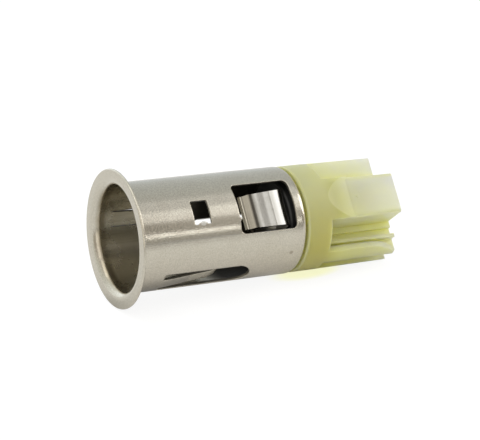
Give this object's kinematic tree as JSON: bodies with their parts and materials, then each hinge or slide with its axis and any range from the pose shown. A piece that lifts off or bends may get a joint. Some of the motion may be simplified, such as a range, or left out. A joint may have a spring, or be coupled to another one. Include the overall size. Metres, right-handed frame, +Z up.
{
  "type": "car cigarette lighter socket",
  "caption": "Socket of a 12 V car lighter: a plated drawn barrel with flange, windows and lanced contact tongues, a spring clip inside and a translucent connector housing behind.",
  "frame": {"origin": "on the barrel's axis, in the plane of the flange's seating face", "axes": "+X along the barrel from the flange towards the connector, +Z up as the socket lies"},
  "size_m": [0.0605, 0.028, 0.028],
  "materials": {
    "plated_steel": "satin nickel plate",
    "bimetal": "bright rolled strip",
    "black_plastic": "moulded",
    "rivet_steel": "plated",
    "terminal_brass": "stamped",
    "housing_plastic": "translucent yellow-green moulding"
  },
  "bodies": {
    "root": {"barrel": "plated_steel", "bimetal_clip": "bimetal", "insulating_bush": "black_plastic", "centre_rivet": "rivet_steel", "earth_terminal": "terminal_brass", "live_terminal": "terminal_brass", "rear_housing": "housing_plastic"}
  },
  "joints": []
}
